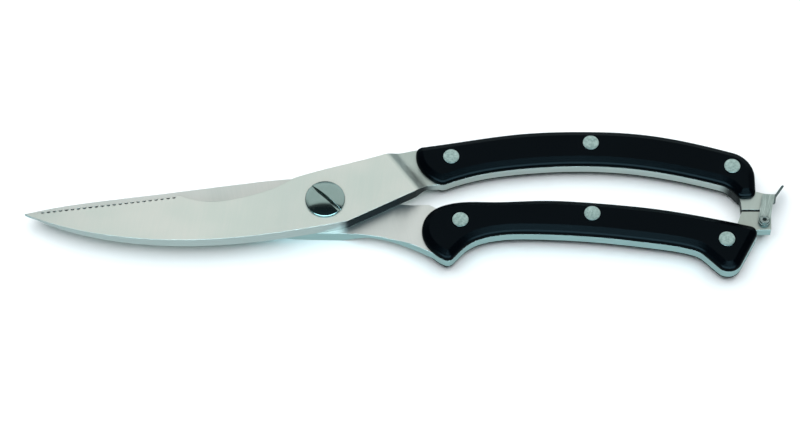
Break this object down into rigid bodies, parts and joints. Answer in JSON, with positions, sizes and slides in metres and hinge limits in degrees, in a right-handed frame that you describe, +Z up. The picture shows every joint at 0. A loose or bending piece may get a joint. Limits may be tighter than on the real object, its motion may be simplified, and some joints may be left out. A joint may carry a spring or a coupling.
{
  "type": "poultry shears",
  "caption": "Hinged poultry shears with a toothed blade, a bone notch, riveted dark handle scales, a slotted pivot screw and a folded closing latch.",
  "frame": {"origin": "where the pivot axis meets the resting plane, at the middle of the pivot nut's flat bottom", "axes": "+X toward the handle ends along the shears' length, +Y toward the upper handle, +Z up along the pivot axis, out of the screw head"},
  "size_m": [0.2494, 0.0515, 0.0117],
  "materials": {
    "blade_steel": "satin",
    "scale_plastic": "gloss",
    "rivet_steel": "satin",
    "screw_steel": "polished",
    "spring_steel": "drawn wire",
    "clip_steel": "satin",
    "clip_rivet_steel": "satin",
    "washer_steel": "satin"
  },
  "bodies": {
    "back_half_group": {"back_half": "blade_steel", "latch_back_washer": "washer_steel", "latch_front_washer": "washer_steel", "latch_rivet": "clip_rivet_steel", "lower_back_scale": "scale_plastic", "lower_front_rivet_pin": "rivet_steel", "lower_front_rivet_tube": "rivet_steel", "lower_front_scale": "scale_plastic", "lower_middle_rivet_pin": "rivet_steel", "lower_middle_rivet_tube": "rivet_steel", "lower_rear_rivet_pin": "rivet_steel", "lower_rear_rivet_tube": "rivet_steel", "opening_spring": "spring_steel", "pivot_nut": "screw_steel", "pivot_screw": "screw_steel"},
    "front_half_group": {"front_half": "blade_steel", "pivot_washer": "screw_steel", "upper_back_scale": "scale_plastic", "upper_front_rivet_pin": "rivet_steel", "upper_front_rivet_tube": "rivet_steel", "upper_front_scale": "scale_plastic", "upper_middle_rivet_pin": "rivet_steel", "upper_middle_rivet_tube": "rivet_steel", "upper_rear_rivet_pin": "rivet_steel", "upper_rear_rivet_tube": "rivet_steel"},
    "latch_group": {"latch_clip": "clip_steel"}
  },
  "joints": [
    {"name": "main_pivot", "type": "hinge", "parent": "back_half_group", "child": "front_half_group", "pos_m": [0, 0, 0.0048], "axis": [0, 0, 1], "range_deg": [0, 32]},
    {"name": "latch", "type": "hinge", "parent": "back_half_group", "child": "latch_group", "pos_m": [0.1433, -0.0067, 0.0048], "axis": [0, 0, 1], "range_deg": [-95, 8]}
  ]
}
